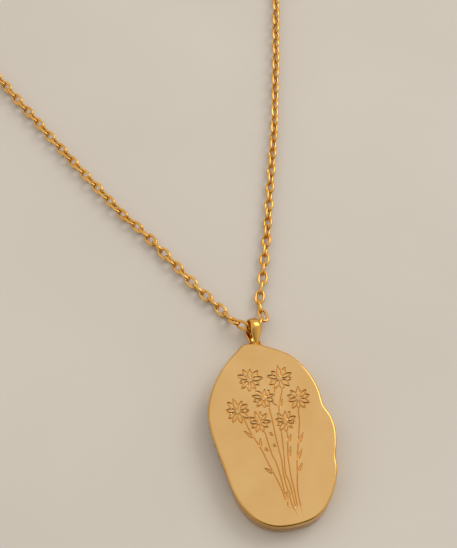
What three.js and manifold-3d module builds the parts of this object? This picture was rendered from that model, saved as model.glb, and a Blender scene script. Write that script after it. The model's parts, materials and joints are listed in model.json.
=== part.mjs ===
// A hinged pebble-shaped locket lying face up, hung by a rolled bail on a fine oval-link
// necklace whose two unclasped ends are wound into flat coils.
// Millimetres. +Z is up, +Y runs from the locket's foot to its bail, and the origin is the
// middle of the locket's back, on the surface that it lies on.

import * as THREE from 'three';
import { mergeVertices } from 'three/addons/utils/BufferGeometryUtils.js';
import Module from 'manifold-3d';

const wasm = await Module();
wasm.setup();

// ---------------------------------------------------------------- driving dimensions

// Locket halves
const LOCKET_LENGTH = 24.8;
const LOCKET_WIDTH = 16.0;
const LOCKET_THICKNESS = 2.9;
// How far the seam lies above the middle of the thickness
const SEAM_RISE = 0;
const SEAM_HEIGHT = LOCKET_THICKNESS / 2 + SEAM_RISE;
const SEAM_GAP = 0.04;
const EDGE_ROUND = 0.25;
const BACK_SKIN = 0.5;
const FRONT_SKIN = 0.5;
const SIDE_RIM = 2.45;
const END_RIM = 3.1;
const OUTLINE_POINTS = 80;
const OVAL_POINTS = 40;

// Concealed hinge in the left edge
const KNUCKLE_RADIUS = 0.5;
const KNUCKLE_LENGTH = 1.7;
const KNUCKLE_GAP = 0.05;
const HINGE_CENTRE_Y = 1.0;
const HINGE_INSET = 0.28;
const HINGE_PIN_RADIUS = 0.2;
const HINGE_RUNNING_GAP = 0.04;
const HINGE_RELIEF_GAP = 0.06;
const SOLDER_GAP = 0.02;

// Snap catch in the right rim
const CATCH_WIDTH = 2.2;
const CATCH_BLADE = 0.25;
const CATCH_RISE = 0.6;
const CATCH_DEPTH = 0.5;
const CATCH_BEAD_RADIUS = 0.12;
const CATCH_CLEARANCE = 0.12;
const CATCH_CENTRE_Y = -1.2;
const CATCH_OUTER_WALL = 0.75;
const THUMB_SCOOP_RADIUS = 1.6;
const THUMB_SCOOP_DEPTH = 0.45;

// Photo compartment, the same in both halves
const PHOTO_THICKNESS = 0.15;
const WINDOW_THICKNESS = 0.2;
// How far the bezel's face stays below its half's seam face
const BEZEL_RECESS = 0.22;
const BEZEL_WIDTH = 0.9;
const LAYER_GAP = 0.02;
const BEZEL_THICKNESS = SEAM_HEIGHT - SEAM_GAP / 2 - BEZEL_RECESS - BACK_SKIN
  - PHOTO_THICKNESS - WINDOW_THICKNESS - 3 * LAYER_GAP;
const OVAL_CLEARANCE = 0.04;

// Soldered loop on the locket's top edge
const LOOP_X = 1.0;
const LOOP_WIRE_RADIUS = 0.16;
const LOOP_HALF_SPAN = 0.72;
const LOOP_CORNER = 0.3;
const LOOP_REACH = 0.95;
const LOOP_BELOW_SEAM = 0.25;
const LOOP_HEIGHT = SEAM_HEIGHT - LOOP_BELOW_SEAM;

// Bail: a tapered band closed into a teardrop loop
const BAIL_SMALL_HOLE = 0.48;
const BAIL_LARGE_HOLE = 0.95;
const BAIL_BAND = 0.33;
const BAIL_LENGTH = 1.95;
const BAIL_FOOT_WIDTH = 0.8;
const BAIL_HEAD_WIDTH = 1.5;
const BAIL_TAPER_START = 0.3;
const BAIL_TAPER_END = 1.3;
const BAIL_LIFT = 0.33;
const BAIL_YAW = THREE.MathUtils.degToRad(-9);
const BAIL_ROLL = THREE.MathUtils.degToRad(20);

// Oval-link chain
const LINK_WIRE = 0.4;
const LINK_OPENING_LENGTH = 1.53;
const LINK_OPENING_WIDTH = 0.7;
const LINK_LENGTH = LINK_OPENING_LENGTH + 2 * LINK_WIRE;
const LINK_WIDTH = LINK_OPENING_WIDTH + 2 * LINK_WIRE;
const CHAIN_WIDTH = LINK_WIDTH;
const CORD_LIFT = 0.03;
const CORD_SIDES = 8;
const CORD_STEP = 3.6;
const END_GAP = 0.3;
// How far the round wires of two crossing links nest past their own thickness
const LINK_NESTING = 0.06;
const LINK_SLACK = LINK_WIRE / 2 - LINK_NESTING;
const SEAT_SHIFT = -0.1;
// Headings of the links beside the bail: across it, away from the locket and up from it.
const RIGHT_LINK_HEADING = [0.55, 0.83, -0.1];
const LEFT_LINK_HEADING = [-0.75, 0.55, -0.45];

// Left strand, from the bail outwards, and right strand the same way
const LEFT_ROUTE = [
  [-1.6, 17.8], [-2.95, 20.2], [-4.6, 22.9], [-6.6, 26.7], [-8.5, 30.2], [-10.3, 33.6],
  [-12.4, 36.8], [-14.9, 41.6], [-16.7, 45.1], [-18.5, 48.6], [-19.8, 51.3], [-21.1, 53.9],
  [-22.3, 56.5], [-23.6, 59.1], [-24.9, 61.9], [-26.2, 64.7],
];
const RIGHT_ROUTE = [
  [3.1, 18.6], [4.2, 21.4], [5.2, 24.2], [7.1, 29.7], [9.0, 35.6], [10.9, 41.5], [11.9, 44.5],
  [12.8, 47.4], [13.6, 50.2], [14.4, 53.0], [15.2, 56.0], [16.1, 59.1], [16.9, 62.2],
  [17.7, 65.2], [18.5, 68.2], [19.3, 71.2], [20.2, 74.5], [21.1, 77.8],
];
const LEFT_COIL_CENTRE = [-39.4, 65.9];
const RIGHT_COIL_CENTRE = [11.8, 87.1];

// Flat coils
const COIL_RADIUS = 11.2;
const COIL_CLEARANCE = 0.1;
const COIL_PITCH = CHAIN_WIDTH + COIL_CLEARANCE;
const COIL_TURNS = 2.75;

// Lobster clasp, end rings
const CLASP_LENGTH = 8.6;
const CLASP_THICKNESS = 1.6;
const CLASP_TAIL_RADIUS = 0.95;
const CLASP_TAIL_HOLE = 0.55;
const CLASP_TAIL_THICKNESS = 0.7;
const CLASP_BODY_HALF = 1.35;
const CLASP_HOOK_HALF = 1.9;
const CLASP_SLOT = 0.8;
const CLASP_REST = 0.1;
const LEVER_THICKNESS = 0.68;
const LEVER_PIN_RADIUS = 0.25;
const RING_RADIUS = 1.0;
const RING_WIRE = 0.42;
const END_RING_RADIUS = 1.7;
const END_RING_WIRE = 0.6;
const END_RING_LIFT = 0.45;

// ---------------------------------------------------------------- materials

const gold = (color, roughness) => new THREE.MeshStandardMaterial({
  color, roughness, metalness: 1,
});
const FACE_GOLD = 0xd9ac68;
const BRIGHT_GOLD = 0xe2b25e;
const DEEP_GOLD = 0xb9863c;
const STEEL = 0xb8b8b4;
const CARD = 0xe9e2d2;

// ---------------------------------------------------------------- solids

function toSolid(geometry) {
  const plain = geometry.clone();
  plain.deleteAttribute('normal');
  plain.deleteAttribute('uv');
  const merged = mergeVertices(plain, 1e-5);
  return new wasm.Manifold(new wasm.Mesh({
    numProp: 3,
    vertProperties: new Float32Array(merged.attributes.position.array),
    triVerts: new Uint32Array(merged.index.array),
  }));
}

function toGeometry(solid) {
  const mesh = solid.getMesh();
  const geometry = new THREE.BufferGeometry();
  geometry.setAttribute('position', new THREE.BufferAttribute(mesh.vertProperties, 3));
  geometry.setIndex(new THREE.BufferAttribute(mesh.triVerts, 1));
  geometry.computeVertexNormals();
  return geometry;
}

function piece(name, shape, material) {
  const geometry = shape.isBufferGeometry ? shape : toGeometry(shape);
  const mesh = new THREE.Mesh(geometry, material);
  mesh.name = name;
  return mesh;
}

// A block between two corners.
function block(low, high) {
  const size = high.map((value, axis) => value - low[axis]);
  const geometry = new THREE.BoxGeometry(...size);
  geometry.translate(...low.map((value, axis) => value + size[axis] / 2));
  return geometry;
}

// A flat plate of any outline between two heights.
function plate(shape, low, high) {
  const geometry = new THREE.ExtrudeGeometry(shape, {
    depth: high - low, bevelEnabled: false, curveSegments: 16,
  });
  geometry.translate(0, 0, low);
  return geometry;
}

// A round bar along Y between two stations.
function barAlongY(radius, x, z, startY, endY, sides = 20) {
  const geometry = new THREE.CylinderGeometry(radius, radius, endY - startY, sides);
  geometry.translate(x, (startY + endY) / 2, z);
  return geometry;
}

function ovalShape(halfWidth, halfLength) {
  const points = [];
  for (let i = 0; i < OVAL_POINTS; i += 1) {
    const angle = (i / OVAL_POINTS) * 2 * Math.PI;
    points.push(new THREE.Vector2(halfWidth * Math.cos(angle), halfLength * Math.sin(angle)));
  }
  return new THREE.Shape(points);
}

// ---------------------------------------------------------------- locket outline

// Pebble outline in shares of the half width and half length, counter-clockwise from the top.
// The two dips on the right part its rounded lobes.
const PEBBLE = [
  [-0.08, 1.0], [-0.25, 0.93], [-0.43, 0.84], [-0.64, 0.7], [-0.815, 0.53], [-0.93, 0.34],
  [-0.955, 0.14], [-0.925, -0.08], [-0.885, -0.3], [-0.845, -0.5], [-0.755, -0.7], [-0.6, -0.86],
  [-0.34, -0.97], [0.03, -1.0], [0.34, -0.965], [0.56, -0.86], [0.735, -0.7], [0.845, -0.54],
  [0.873, -0.42], [0.945, -0.29], [1.0, -0.12], [0.985, 0.02], [0.925, 0.13], [0.918, 0.2],
  [0.92, 0.29], [0.885, 0.44], [0.785, 0.61], [0.61, 0.775], [0.34, 0.9], [0.12, 0.975],
];

const outlineCurve = new THREE.CatmullRomCurve3(
  PEBBLE.map(([x, y]) => new THREE.Vector3((x * LOCKET_WIDTH) / 2, (y * LOCKET_LENGTH) / 2, 0)),
  true,
  'centripetal',
);
const outline = outlineCurve.getSpacedPoints(OUTLINE_POINTS).slice(0, OUTLINE_POINTS);
const outlineShape = new THREE.Shape(outline.map((p) => new THREE.Vector2(p.x, p.y)));
const leftEdge = Math.min(...outline.map((p) => p.x));

// Edge of the outline nearest to a height Y, on the given side (+1 right, -1 left).
function edgeAt(y, side) {
  const candidates = outline.filter((p) => Math.sign(p.x) === side);
  candidates.sort((a, b) => Math.abs(a.y - y) - Math.abs(b.y - y));
  return candidates[0].x;
}

// Top of the outline above a station X.
function topAt(x) {
  const candidates = outline.filter((p) => p.y > 0);
  candidates.sort((a, b) => Math.abs(a.x - x) - Math.abs(b.x - x));
  return Math.max(candidates[0].y, candidates[1].y);
}

// The closed locket as one pebble with both edges eased.
function pebble() {
  const geometry = new THREE.ExtrudeGeometry(outlineShape, {
    depth: LOCKET_THICKNESS - 2 * EDGE_ROUND,
    bevelEnabled: true,
    bevelThickness: EDGE_ROUND,
    bevelSize: EDGE_ROUND,
    bevelOffset: -EDGE_ROUND,
    bevelSegments: 2,
    curveSegments: 1,
  });
  geometry.translate(0, 0, EDGE_ROUND);
  return toSolid(geometry);
}

const REACH = 2 * LOCKET_LENGTH;
const seamLow = SEAM_HEIGHT - SEAM_GAP / 2;
const seamHigh = SEAM_HEIGHT + SEAM_GAP / 2;
const belowSeam = toSolid(block([-REACH, -REACH, -REACH], [REACH, REACH, seamLow]));
const aboveSeam = toSolid(block([-REACH, -REACH, seamHigh], [REACH, REACH, REACH]));

// ---------------------------------------------------------------- hinge sizes

const hingeX = leftEdge + HINGE_INSET + KNUCKLE_RADIUS;
// The front half's lip, left of the hinge line, swings down into this much room.
const reliefX = hingeX + KNUCKLE_RADIUS + HINGE_INSET + HINGE_RELIEF_GAP;
const hingeHalf = 1.5 * KNUCKLE_LENGTH + KNUCKLE_GAP;
const hingeLow = HINGE_CENTRE_Y - hingeHalf;
const hingeHigh = HINGE_CENTRE_Y + hingeHalf;
// Wherever the outline passes the hinge line the back half is cut away, so the front half
// can swing down beside it.
const pastHinge = outline.filter((p) => p.x < hingeX + HINGE_RELIEF_GAP).map((p) => p.y);
const reliefLow = Math.min(hingeLow, ...pastHinge) - KNUCKLE_RADIUS;
const reliefHigh = Math.max(hingeHigh, ...pastHinge) + KNUCKLE_RADIUS;

const knuckleSpans = {
  bottom: [hingeLow, hingeLow + KNUCKLE_LENGTH],
  cover: [hingeLow + KNUCKLE_LENGTH + KNUCKLE_GAP, hingeHigh - KNUCKLE_LENGTH - KNUCKLE_GAP],
  top: [hingeHigh - KNUCKLE_LENGTH, hingeHigh],
};

// A length of hinge tube with a foot that is soldered to its half of the locket.
function knuckle([startY, endY], footSide) {
  const tube = toSolid(barAlongY(KNUCKLE_RADIUS, hingeX, SEAM_HEIGHT, startY, endY));
  const footEnd = SEAM_HEIGHT + footSide * KNUCKLE_RADIUS;
  const footStart = SEAM_HEIGHT + (footSide * SEAM_GAP) / 2;
  const foot = toSolid(block(
    [hingeX, startY, Math.min(footStart, footEnd)],
    [reliefX - SOLDER_GAP, endY, Math.max(footStart, footEnd)],
  ));
  const bore = toSolid(barAlongY(
    HINGE_PIN_RADIUS + HINGE_RUNNING_GAP, hingeX, SEAM_HEIGHT, startY - 1, endY + 1, 12,
  ));
  return tube.add(foot).subtract(bore);
}

// ---------------------------------------------------------------- catch sizes

const catchOuter = edgeAt(CATCH_CENTRE_Y, 1) - CATCH_OUTER_WALL;
const catchBladeX = catchOuter - CATCH_CLEARANCE - CATCH_BEAD_RADIUS - CATCH_BLADE;
const catchLow = CATCH_CENTRE_Y - CATCH_WIDTH / 2;
const catchHigh = CATCH_CENTRE_Y + CATCH_WIDTH / 2;

function catchTongue() {
  const blade = toSolid(block(
    [catchBladeX, catchLow, SEAM_HEIGHT - CATCH_DEPTH],
    [catchBladeX + CATCH_BLADE, catchHigh, SEAM_HEIGHT + CATCH_RISE],
  ));
  const bead = toSolid(barAlongY(
    CATCH_BEAD_RADIUS, catchBladeX + CATCH_BLADE, SEAM_HEIGHT + CATCH_RISE - 2 * CATCH_BEAD_RADIUS,
    catchLow + CATCH_BLADE, catchHigh - CATCH_BLADE, 8,
  ));
  return blade.add(bead);
}

// ---------------------------------------------------------------- locket halves

const pocketHalfWidth = LOCKET_WIDTH / 2 - SIDE_RIM;
const pocketHalfLength = LOCKET_LENGTH / 2 - END_RIM;

function backCase() {
  const pocket = toSolid(plate(ovalShape(pocketHalfWidth, pocketHalfLength), BACK_SKIN, REACH));
  const relief = toSolid(block([-REACH, reliefLow, -REACH], [reliefX, reliefHigh, REACH]));
  const slot = toSolid(block(
    [catchBladeX - SOLDER_GAP, catchLow - SOLDER_GAP, SEAM_HEIGHT - CATCH_DEPTH - SOLDER_GAP],
    [catchBladeX + CATCH_BLADE + SOLDER_GAP, catchHigh + SOLDER_GAP, REACH],
  ));
  const scoopGeometry = new THREE.SphereGeometry(THUMB_SCOOP_RADIUS, 16, 10);
  scoopGeometry.scale(1, 1, 0.5);
  scoopGeometry.translate(
    edgeAt(CATCH_CENTRE_Y, 1) + THUMB_SCOOP_RADIUS - THUMB_SCOOP_DEPTH, CATCH_CENTRE_Y, seamLow,
  );
  return pebble().intersect(belowSeam).subtract(pocket).subtract(relief)
    .subtract(slot).subtract(toSolid(scoopGeometry));
}

function frontCover() {
  const pocket = toSolid(plate(
    ovalShape(pocketHalfWidth, pocketHalfLength), -REACH, LOCKET_THICKNESS - FRONT_SKIN,
  ));
  const knuckleRoom = toSolid(block(
    [-REACH, hingeLow - HINGE_RELIEF_GAP, -REACH],
    [reliefX, hingeHigh + HINGE_RELIEF_GAP, SEAM_HEIGHT + KNUCKLE_RADIUS + HINGE_RELIEF_GAP],
  ));
  const catchRoom = toSolid(block(
    [catchBladeX - CATCH_CLEARANCE, catchLow - CATCH_CLEARANCE, -REACH],
    [catchOuter, catchHigh + CATCH_CLEARANCE, SEAM_HEIGHT + CATCH_RISE + CATCH_CLEARANCE],
  ));
  return pebble().intersect(aboveSeam).subtract(pocket).subtract(knuckleRoom)
    .subtract(catchRoom);
}

// Photograph, clear window and snap-in bezel, stacked from the skin towards the seam.
function photoStack(side, skinFace, direction, material) {
  const insideWidth = pocketHalfWidth - OVAL_CLEARANCE;
  const insideLength = pocketHalfLength - OVAL_CLEARANCE;
  const layers = [
    ['photo', PHOTO_THICKNESS], ['window', WINDOW_THICKNESS], ['bezel', BEZEL_THICKNESS],
  ];
  let near = skinFace + direction * LAYER_GAP;
  return layers.map(([layer, thickness]) => {
    const far = near + direction * thickness;
    const shape = ovalShape(insideWidth, insideLength);
    if (layer === 'bezel') {
      shape.holes.push(ovalShape(insideWidth - BEZEL_WIDTH, insideLength - BEZEL_WIDTH));
    }
    const solid = plate(shape, Math.min(near, far), Math.max(near, far));
    near = far + direction * LAYER_GAP;
    return piece(`${side}_${layer}`, solid, material[layer]);
  });
}

// ---------------------------------------------------------------- loop and bail

const loopBase = topAt(LOOP_X);
const loopEndY = loopBase + LOOP_REACH;

// A bar of round wire along a curve.
function wire(points, radius, sides, steps) {
  const section = new THREE.Shape();
  for (let i = 0; i < sides; i += 1) {
    const angle = (i / sides) * 2 * Math.PI;
    const corner = [radius * Math.cos(angle), radius * Math.sin(angle)];
    if (i === 0) section.moveTo(...corner);
    else section.lineTo(...corner);
  }
  section.closePath();
  const curve = new THREE.CatmullRomCurve3(points, false, 'centripetal');
  return new THREE.ExtrudeGeometry(section, { steps, bevelEnabled: false, extrudePath: curve });
}

// A staple of round wire: two legs from the locket's top edge and a straight end bar.
function bailLoop() {
  const cornerY = loopEndY - LOOP_CORNER;
  const cornerX = LOOP_HALF_SPAN - LOOP_CORNER;
  const rightHalf = [new THREE.Vector3(cornerX / 2, loopEndY, LOOP_HEIGHT)];
  for (let i = 0; i <= 4; i += 1) {
    const angle = (Math.PI / 2) * (1 - i / 4);
    rightHalf.push(new THREE.Vector3(
      cornerX + LOOP_CORNER * Math.cos(angle),
      cornerY + LOOP_CORNER * Math.sin(angle),
      LOOP_HEIGHT,
    ));
  }
  rightHalf.push(new THREE.Vector3(LOOP_HALF_SPAN, loopBase - LOOP_REACH, LOOP_HEIGHT));
  const leftHalf = rightHalf.map((p) => new THREE.Vector3(-p.x, p.y, p.z)).reverse();
  const staple = wire([...leftHalf, ...rightHalf], LOOP_WIRE_RADIUS, 8, 28);
  staple.translate(LOOP_X, 0, 0);
  const envelope = toSolid(plate(outlineShape, 0, LOCKET_THICKNESS));
  return toSolid(staple).subtract(envelope);
}

// The bail in its own frame: x across the band, y away from the locket, z up, with the small
// end's hole centre at the origin.
function bailBand() {
  const teardrop = (smallRadius, largeRadius) => {
    const lean = Math.acos((smallRadius - largeRadius) / BAIL_LENGTH);
    const shape = new THREE.Shape();
    shape.absarc(BAIL_LENGTH, 0, largeRadius, -lean, lean, false);
    shape.absarc(0, 0, smallRadius, lean, 2 * Math.PI - lean, false);
    return shape;
  };
  const side = teardrop(BAIL_SMALL_HOLE + BAIL_BAND, BAIL_LARGE_HOLE + BAIL_BAND);
  side.holes.push(teardrop(BAIL_SMALL_HOLE, BAIL_LARGE_HOLE));
  const band = plate(side, -BAIL_HEAD_WIDTH, BAIL_HEAD_WIDTH);
  band.applyMatrix4(new THREE.Matrix4().makeBasis(
    new THREE.Vector3(0, 1, 0), new THREE.Vector3(0, 0, 1), new THREE.Vector3(1, 0, 0),
  ));
  const footEnd = -(BAIL_SMALL_HOLE + BAIL_BAND) - 1;
  const headEnd = BAIL_LENGTH + BAIL_LARGE_HOLE + BAIL_BAND + 1;
  const taper = new THREE.Shape([
    [-BAIL_FOOT_WIDTH / 2, footEnd], [BAIL_FOOT_WIDTH / 2, footEnd],
    [BAIL_FOOT_WIDTH / 2, BAIL_TAPER_START], [BAIL_HEAD_WIDTH / 2, BAIL_TAPER_END],
    [BAIL_HEAD_WIDTH / 2, headEnd], [-BAIL_HEAD_WIDTH / 2, headEnd],
    [-BAIL_HEAD_WIDTH / 2, BAIL_TAPER_END], [-BAIL_FOOT_WIDTH / 2, BAIL_TAPER_START],
  ].map(([x, y]) => new THREE.Vector2(x, y)));
  return toSolid(band).intersect(toSolid(plate(taper, -REACH, REACH)));
}

// ---------------------------------------------------------------- chain

// One oval link, long along X and flat in XY, centred on the origin.
function linkGeometry() {
  const wireRadius = LINK_WIRE / 2;
  const bendRadius = LINK_WIDTH / 2 - wireRadius;
  const stretch = (LINK_LENGTH - LINK_WIDTH) / 2;
  const segments = 18;
  const geometry = new THREE.TorusGeometry(bendRadius, wireRadius, 8, segments);
  const position = geometry.attributes.position;
  for (let i = 0; i < position.count; i += 1) {
    const x = position.getX(i);
    position.setX(i, x + Math.sign(x) * stretch);
  }
  return geometry;
}

// A link laid with its long axis along a heading and its flat side facing a normal.
function placedLink(name, centre, heading, normal) {
  const link = piece(name, linkGeometry(), gold(BRIGHT_GOLD, 0.22));
  const flat = normal.clone().addScaledVector(heading, -normal.dot(heading)).normalize();
  const across = new THREE.Vector3().crossVectors(flat, heading);
  link.quaternion.setFromRotationMatrix(new THREE.Matrix4().makeBasis(heading, across, flat));
  link.position.copy(centre);
  return link;
}

const cordRadius = CHAIN_WIDTH / 2;
const cordRest = cordRadius + CORD_LIFT;

// Plain tube of the chain's outer width along its route.
function strand(name, start, route) {
  const points = [start, ...route.map(([x, y]) => new THREE.Vector3(x, y, cordRest))];
  const length = new THREE.CatmullRomCurve3(points, false, 'centripetal').getLength();
  const steps = Math.ceil(length / CORD_STEP);
  return piece(name, wire(points, cordRadius, CORD_SIDES, steps), gold(BRIGHT_GOLD, 0.22));
}

const coilInner = COIL_RADIUS - COIL_TURNS * COIL_PITCH;

function coil(name, [x, y]) {
  const profile = [
    [coilInner - cordRadius, 0], [COIL_RADIUS + cordRadius, 0],
    [COIL_RADIUS + cordRadius, CHAIN_WIDTH], [coilInner - cordRadius, CHAIN_WIDTH],
    [coilInner - cordRadius, 0],
  ].map((p) => new THREE.Vector2(...p));
  const geometry = new THREE.LatheGeometry(profile, 32);
  geometry.rotateX(Math.PI / 2);
  const ring = piece(name, geometry, gold(BRIGHT_GOLD, 0.22));
  ring.position.set(x, y, 0);
  return ring;
}

// Direction from a coil's inner end to its centre. The strand runs on in a straight line until
// it touches the outer turn, and winds anticlockwise inwards from there.
function inwardAngle(route, [cx, cy]) {
  const [endX, endY] = route[route.length - 1];
  const distance = Math.hypot(endX - cx, endY - cy);
  const touch = Math.atan2(endY - cy, endX - cx) + Math.acos(COIL_RADIUS / distance);
  return touch + COIL_TURNS * 2 * Math.PI + Math.PI;
}

// ---------------------------------------------------------------- clasp

// The clasp in its own frame: x from the tail towards the hook, y across, z up.
const leverPivot = [3.1, -0.6];
const hookInside = CLASP_LENGTH - 1.0;

function claspBody() {
  const shape = new THREE.Shape();
  shape.moveTo(0.4, -0.75);
  shape.lineTo(2.0, -CLASP_BODY_HALF);
  shape.lineTo(4.0, -CLASP_BODY_HALF);
  shape.lineTo(4.0, 0.55);
  shape.bezierCurveTo(4.6, 1.25, 6.3, 1.3, hookInside - 0.55, 0.75);
  shape.bezierCurveTo(hookInside, 0.25, hookInside, -0.5, hookInside - 0.45, -1.0);
  shape.lineTo(hookInside - 0.2, -1.75);
  shape.bezierCurveTo(CLASP_LENGTH, -1.2, CLASP_LENGTH, 0.6, CLASP_LENGTH - 1.0, 1.3);
  shape.bezierCurveTo(6.6, CLASP_HOOK_HALF + 0.2, 4.2, CLASP_HOOK_HALF, 2.0, CLASP_BODY_HALF);
  shape.lineTo(0.4, 0.75);
  shape.absarc(0, 0, CLASP_TAIL_RADIUS, 1.08, 2 * Math.PI - 1.08, false);
  const body = toSolid(plate(shape, CLASP_REST, CLASP_REST + CLASP_THICKNESS));
  const middle = CLASP_REST + CLASP_THICKNESS / 2;
  const slot = toSolid(block(
    [1.75, -REACH, middle - CLASP_SLOT / 2], [4.5, 0.35, middle + CLASP_SLOT / 2],
  ));
  const thinning = CLASP_TAIL_RADIUS + 0.35;
  const tailTop = toSolid(block(
    [-REACH, -REACH, middle + CLASP_TAIL_THICKNESS / 2], [thinning, REACH, REACH],
  ));
  const tailBottom = toSolid(block(
    [-REACH, -REACH, -REACH], [thinning, REACH, middle - CLASP_TAIL_THICKNESS / 2],
  ));
  const hole = new THREE.Shape();
  hole.absarc(0, 0, CLASP_TAIL_HOLE, 0, 2 * Math.PI, false);
  const pinHole = new THREE.Shape();
  pinHole.absarc(...leverPivot, LEVER_PIN_RADIUS + SOLDER_GAP, 0, 2 * Math.PI, false);
  return body.subtract(slot).subtract(tailTop).subtract(tailBottom)
    .subtract(toSolid(plate(hole, -REACH, REACH)))
    .subtract(toSolid(plate(pinHole, -REACH, REACH)));
}

function claspLever() {
  const middle = CLASP_REST + CLASP_THICKNESS / 2;
  const shape = new THREE.Shape();
  shape.moveTo(2.45, -0.95);
  shape.lineTo(2.3, -1.95);
  shape.lineTo(2.9, -2.0);
  shape.lineTo(3.3, -1.35);
  shape.lineTo(6.95, -1.65);
  shape.lineTo(6.75, -1.05);
  shape.lineTo(4.3, -0.55);
  shape.lineTo(3.6, -0.1);
  shape.lineTo(2.9, -0.1);
  const hole = new THREE.Path();
  hole.absarc(...leverPivot, LEVER_PIN_RADIUS + HINGE_RUNNING_GAP, 0, 2 * Math.PI, true);
  shape.holes.push(hole);
  return plate(shape, middle - LEVER_THICKNESS / 2, middle + LEVER_THICKNESS / 2);
}

function claspPin() {
  const shape = new THREE.Shape();
  shape.absarc(...leverPivot, LEVER_PIN_RADIUS, 0, 2 * Math.PI, false);
  return plate(shape, CLASP_REST, CLASP_REST + CLASP_THICKNESS);
}

// A leaf of spring steel bedded in the slot behind the lever.
function claspSpring() {
  const middle = CLASP_REST + CLASP_THICKNESS / 2;
  return block(
    [1.8, -0.95, middle - LEVER_THICKNESS / 2], [1.95, 0.3, middle + LEVER_THICKNESS / 2],
  );
}

// A jump ring standing on edge with its axis across X.
function jumpRing(name, radius, wireThickness) {
  const geometry = new THREE.TorusGeometry(radius, wireThickness / 2, 8, 20);
  geometry.rotateX(Math.PI / 2);
  return piece(name, geometry, gold(BRIGHT_GOLD, 0.2));
}

// ---------------------------------------------------------------- assembly

const locket = new THREE.Group();
const insets = {
  photo: new THREE.MeshStandardMaterial({ color: CARD, roughness: 0.8, metalness: 0 }),
  window: new THREE.MeshStandardMaterial({ color: 0xf4f6f6, roughness: 0.05, metalness: 0 }),
  bezel: gold(BRIGHT_GOLD, 0.2),
};

locket.add(piece('back_case', backCase(), gold(FACE_GOLD, 0.25)));
locket.add(piece('front_cover', frontCover(), gold(FACE_GOLD, 0.18)));
locket.add(piece('hinge_knuckle_top', knuckle(knuckleSpans.top, -1), gold(DEEP_GOLD, 0.3)));
locket.add(piece('hinge_knuckle_bottom', knuckle(knuckleSpans.bottom, -1), gold(DEEP_GOLD, 0.3)));
locket.add(piece('hinge_knuckle_cover', knuckle(knuckleSpans.cover, 1), gold(DEEP_GOLD, 0.3)));
locket.add(piece(
  'hinge_pin',
  barAlongY(HINGE_PIN_RADIUS, hingeX, SEAM_HEIGHT, hingeLow, hingeHigh, 12),
  gold(DEEP_GOLD, 0.3),
));
locket.add(piece('catch_tongue', catchTongue(), gold(DEEP_GOLD, 0.25)));
locket.add(...photoStack('back', BACK_SKIN, 1, insets));
locket.add(...photoStack('front', LOCKET_THICKNESS - FRONT_SKIN, -1, insets));
locket.add(piece('bail_loop', bailLoop(), gold(DEEP_GOLD, 0.22)));

// The bail leans between the two strands and is rolled a little on its long axis.
const bailFrame = new THREE.Group();
bailFrame.position.set(LOOP_X, loopEndY, LOOP_HEIGHT);
const bailTilt = Math.asin(BAIL_LIFT / BAIL_LENGTH);
bailFrame.rotation.set(bailTilt, 0, BAIL_YAW, 'ZXY');
const bailRolled = new THREE.Group();
bailRolled.rotation.y = BAIL_ROLL;
bailFrame.add(bailRolled);
bailRolled.add(piece('bail', bailBand(), gold(BRIGHT_GOLD, 0.16)));
locket.add(bailFrame);
locket.updateMatrixWorld(true);

// The link that sits through the bail, and one more on each side of it.
const linkReach = LINK_LENGTH / 2 - LINK_WIRE;
const bailHeading = (heading) => (
  new THREE.Vector3(...heading).transformDirection(bailRolled.matrixWorld)
);
const acrossBail = bailHeading([1, 0, 0]);
const linkSeat = bailRolled.localToWorld(new THREE.Vector3(SEAT_SHIFT, BAIL_LENGTH, 0));
locket.add(placedLink('link_centre', linkSeat, acrossBail, bailHeading([0, 0, 1])));

function sideLink(name, side, heading) {
  const centre = linkSeat.clone()
    .addScaledVector(acrossBail, side * (linkReach - LINK_SLACK))
    .addScaledVector(heading, linkReach);
  locket.add(placedLink(name, centre, heading, acrossBail));
  return centre;
}

const rightHeading = bailHeading(RIGHT_LINK_HEADING);
const leftHeading = bailHeading(LEFT_LINK_HEADING);
const rightLink = sideLink('link_right', 1, rightHeading);
const leftLink = sideLink('link_left', -1, leftHeading);

// Each strand starts one gap past its link's outer end.
function strandStart(link, heading) {
  return link.clone().addScaledVector(heading, LINK_LENGTH / 2 + END_GAP);
}
locket.add(strand('chain_left', strandStart(leftLink, leftHeading), LEFT_ROUTE));
locket.add(strand('chain_right', strandStart(rightLink, rightHeading), RIGHT_ROUTE));
locket.add(coil('chain_left_coil', LEFT_COIL_CENTRE));
locket.add(coil('chain_right_coil', RIGHT_COIL_CENTRE));

// The clasp lies inside the left coil, hung on its ring, and the end ring inside the right.
const ringOuter = RING_RADIUS + RING_WIRE / 2;
const claspFrame = new THREE.Group();
claspFrame.position.set(...LEFT_COIL_CENTRE, 0);
claspFrame.rotation.z = inwardAngle(LEFT_ROUTE, LEFT_COIL_CENTRE);
const claspRing = jumpRing('clasp_ring', RING_RADIUS, RING_WIRE);
claspRing.position.set(-(coilInner - cordRadius - END_GAP - ringOuter), 0, ringOuter);
const clasp = new THREE.Group();
clasp.position.x = claspRing.position.x + RING_RADIUS - RING_WIRE / 4;
clasp.add(piece('clasp_body', claspBody(), gold(BRIGHT_GOLD, 0.2)));
clasp.add(piece('clasp_lever', claspLever(), gold(BRIGHT_GOLD, 0.22)));
clasp.add(piece('clasp_pin', claspPin(), gold(DEEP_GOLD, 0.3)));
clasp.add(piece('clasp_spring', claspSpring(), new THREE.MeshStandardMaterial({
  color: STEEL, roughness: 0.35, metalness: 1,
})));
claspFrame.add(claspRing, clasp);
locket.add(claspFrame);

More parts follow.
